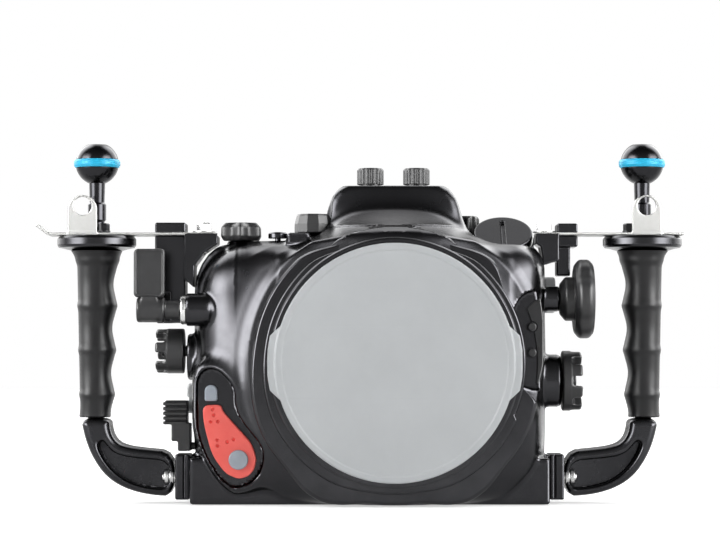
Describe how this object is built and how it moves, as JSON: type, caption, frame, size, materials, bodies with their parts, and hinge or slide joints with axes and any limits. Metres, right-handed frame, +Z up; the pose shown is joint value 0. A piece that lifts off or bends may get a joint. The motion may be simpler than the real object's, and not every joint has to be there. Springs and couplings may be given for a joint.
{
  "type": "underwater camera housing",
  "caption": "Aluminium dive housing for a camera, with grip handles, ball mounts, port cap, lock lever, knobs, dials, buttons and a lift-off rear half.",
  "frame": {"origin": "on the base face, under the port axis and inside the front half", "axes": "+X to the right as seen from the front, +Y from the port to the rear window, +Z up"},
  "size_m": [0.3829, 0.1395, 0.2121],
  "materials": {
    "anodised_aluminium": "bead blasted, black anodised, satin",
    "black_nylon": "moulded, fine texture",
    "grip_rubber": "moulded, matte",
    "cap_plastic": "moulded, soft satin",
    "coral_lacquer": "smooth coral red",
    "grey_pin": "satin grey",
    "stainless": "turned",
    "blasted_steel": "bead blasted",
    "latch_grey": "clear anodised",
    "dark_plate": "smooth black",
    "brass": "machined",
    "seal_rubber": "greased",
    "blue_rubber": "moulded",
    "window": "polished",
    "tray_aluminium": "clear anodised"
  },
  "bodies": {
    "case": {"front_shell": "anodised_aluminium", "port_ring": "anodised_aluminium", "port_seal": "seal_rubber", "port_lock_pivot": "grey_pin", "shutter_bushing": "stainless", "lens_release_plate": "dark_plate", "camera_tray": "tray_aluminium", "handle_arm_left": "anodised_aluminium", "side_block_left": "anodised_aluminium", "handle_bolt_left": "stainless", "grip_left": "grip_rubber", "grip_disc_left": "anodised_aluminium", "strap_left": "blasted_steel", "strap_bolt_left": "stainless", "eye_bolt_left": "dark_plate", "strap_bracket_left": "anodised_aluminium", "ball_mount_left": "anodised_aluminium", "ball_ring_left": "blue_rubber", "handle_arm_right": "anodised_aluminium", "side_block_right": "anodised_aluminium", "handle_bolt_right": "stainless", "grip_right": "grip_rubber", "grip_disc_right": "anodised_aluminium", "strap_right": "blasted_steel", "strap_bolt_right": "stainless", "eye_bolt_right": "dark_plate", "strap_bracket_right": "anodised_aluminium", "ball_mount_right": "anodised_aluminium", "ball_ring_right": "blue_rubber"},
    "rear_half": {"rear_shell": "anodised_aluminium", "case_seal": "seal_rubber", "rear_window": "window", "window_frame": "anodised_aluminium", "eyepiece_body": "anodised_aluminium", "eyepiece_lens": "window"},
    "port_cap": {"port_cap": "cap_plastic"},
    "port_lock_lever": {"port_lock_lever": "coral_lacquer"},
    "port_lock_catch": {"port_lock_catch": "grey_pin"},
    "bulkhead_cap_left": {"bulkhead_cap_left": "black_nylon"},
    "bulkhead_cap_right": {"bulkhead_cap_right": "black_nylon"},
    "accessory_plug": {"accessory_plug": "anodised_aluminium"},
    "top_star_dial": {"top_star_dial": "black_nylon"},
    "top_button": {"top_button": "black_nylon"},
    "mode_dial": {"mode_dial": "black_nylon"},
    "rear_dial": {"rear_dial": "black_nylon"},
    "shutter_lever": {"shutter_lever": "black_nylon"},
    "left_star_knob": {"left_star_knob": "black_nylon"},
    "case_latch_left": {"case_latch_left": "latch_grey"},
    "case_latch_right": {"case_latch_right": "latch_grey"},
    "thumb_lever": {"thumb_lever": "black_nylon"},
    "focus_knob": {"focus_knob": "black_nylon"},
    "zoom_knob": {"zoom_knob": "black_nylon", "zoom_bevel_gear": "brass"},
    "lens_drive_gear": {"lens_drive_gear": "brass"},
    "lens_release_button_upper": {"lens_release_button_upper": "black_nylon"},
    "lens_release_button_lower": {"lens_release_button_lower": "black_nylon"},
    "rear_wheel": {"rear_wheel": "black_nylon"},
    "rear_button_menu_side": {"rear_button_menu_side": "black_nylon"},
    "rear_button_upper": {"rear_button_upper": "black_nylon"},
    "rear_button_window_side": {"rear_button_window_side": "black_nylon"}
  },
  "joints": [
    {"name": "rear_half_slide", "type": "slide", "parent": "case", "child": "rear_half", "axis": [0, 1, 0], "range_m": [0, 0.12]},
    {"name": "port_cap_slide", "type": "slide", "parent": "case", "child": "port_cap", "axis": [0, -1, 0], "range_m": [0, 0.06]},
    {"name": "port_lock_hinge", "type": "hinge", "parent": "case", "child": "port_lock_lever", "pos_m": [-0.0902, -0.0368, 0.0264], "axis": [0, 1, 0], "range_deg": [0, 8]},
    {"name": "port_lock_catch_slide", "type": "slide", "parent": "case", "child": "port_lock_catch", "axis": [0, 0, 1], "range_m": [0, 0.0025], "stiffness_N_per_m": 200, "springref_m": -0.001},
    {"name": "bulkhead_cap_left_turn", "type": "hinge", "parent": "case", "child": "bulkhead_cap_left", "pos_m": [-0.0137, 0.004, 0.19], "axis": [0, 0, 1], "continuous": true},
    {"name": "bulkhead_cap_right_turn", "type": "hinge", "parent": "case", "child": "bulkhead_cap_right", "pos_m": [0.0137, 0.004, 0.19], "axis": [0, 0, 1], "continuous": true},
    {"name": "accessory_plug_turn", "type": "hinge", "parent": "case", "child": "accessory_plug", "pos_m": [0.0647, -0.008, 0.1596], "axis": [0, -0.5736, 0.8192], "continuous": true},
    {"name": "top_star_dial_turn", "type": "hinge", "parent": "case", "child": "top_star_dial", "pos_m": [-0.0903, -0.004, 0.16], "axis": [0, 0, 1], "continuous": true},
    {"name": "top_button_slide", "type": "slide", "parent": "case", "child": "top_button", "axis": [0, 0, -1], "range_m": [0, 0.002], "stiffness_N_per_m": 300, "springref_m": -0.001},
    {"name": "mode_dial_turn", "type": "hinge", "parent": "case", "child": "mode_dial", "pos_m": [-0.0475, -0.011, 0.164], "axis": [0, 0, 1], "continuous": true},
    {"name": "rear_dial_turn", "type": "hinge", "parent": "case", "child": "rear_dial", "pos_m": [0.0444, 0.011, 0.164], "axis": [0, 0, 1], "continuous": true},
    {"name": "shutter_lever_hinge", "type": "hinge", "parent": "case", "child": "shutter_lever", "pos_m": [-0.14, -0.028, 0.1134], "axis": [-1, 0, 0], "range_deg": [0, 14], "stiffness_Nm_per_rad": 0.4, "springref_deg": -2.86},
    {"name": "left_star_knob_turn", "type": "hinge", "parent": "case", "child": "left_star_knob", "pos_m": [-0.13, -0.006, 0.0894], "axis": [1, 0, 0], "continuous": true},
    {"name": "case_latch_left_turn", "type": "hinge", "parent": "case", "child": "case_latch_left", "pos_m": [-0.12, 0.0098, 0.0612], "axis": [1, 0, 0], "range_deg": [0, 90]},
    {"name": "case_latch_right_turn", "type": "hinge", "parent": "case", "child": "case_latch_right", "pos_m": [0.093, 0.0086, 0.1228], "axis": [1, 0, 0], "range_deg": [0, 90]},
    {"name": "thumb_lever_hinge", "type": "hinge", "parent": "case", "child": "thumb_lever", "pos_m": [-0.122, -0.008, 0.0335], "axis": [1, 0, 0], "range_deg": [0, 10], "stiffness_Nm_per_rad": 0.3, "springref_deg": -2.86},
    {"name": "focus_knob_turn", "type": "hinge", "parent": "case", "child": "focus_knob", "pos_m": [0.11, -0.016, 0.1199], "axis": [1, 0, 0], "continuous": true},
    {"name": "zoom_knob_turn", "type": "hinge", "parent": "case", "child": "zoom_knob", "pos_m": [0.104, -0.014, 0.0719], "axis": [1, 0, 0], "continuous": true},
    {"name": "lens_drive_gear_turn", "type": "hinge", "parent": "case", "child": "lens_drive_gear", "pos_m": [0.063, -0.025, 0.0719], "axis": [0, 1, 0], "continuous": true},
    {"name": "lens_release_upper_slide", "type": "slide", "parent": "case", "child": "lens_release_button_upper", "axis": [0, 1, 0], "range_m": [0, 0.0015], "stiffness_N_per_m": 300, "springref_m": -0.001},
    {"name": "lens_release_lower_slide", "type": "slide", "parent": "case", "child": "lens_release_button_lower", "axis": [0, 1, 0], "range_m": [0, 0.0015], "stiffness_N_per_m": 300, "springref_m": -0.001},
    {"name": "rear_wheel_turn", "type": "hinge", "parent": "rear_half", "child": "rear_wheel", "pos_m": [-0.062, 0.055, 0.062], "axis": [0, 1, 0], "continuous": true},
    {"name": "rear_button_menu_side_slide", "type": "slide", "parent": "rear_half", "child": "rear_button_menu_side", "axis": [0, -1, 0], "range_m": [0, 0.002], "stiffness_N_per_m": 300, "springref_m": -0.001},
    {"name": "rear_button_upper_slide", "type": "slide", "parent": "rear_half", "child": "rear_button_upper", "axis": [0, -1, 0], "range_m": [0, 0.002], "stiffness_N_per_m": 300, "springref_m": -0.001},
    {"name": "rear_button_window_side_slide", "type": "slide", "parent": "rear_half", "child": "rear_button_window_side", "axis": [0, -1, 0], "range_m": [0, 0.002], "stiffness_N_per_m": 300, "springref_m": -0.001}
  ],
  "couplings": [
    {"joint": "lens_drive_gear_turn", "follows": "zoom_knob_turn", "ratio": 1}
  ]
}
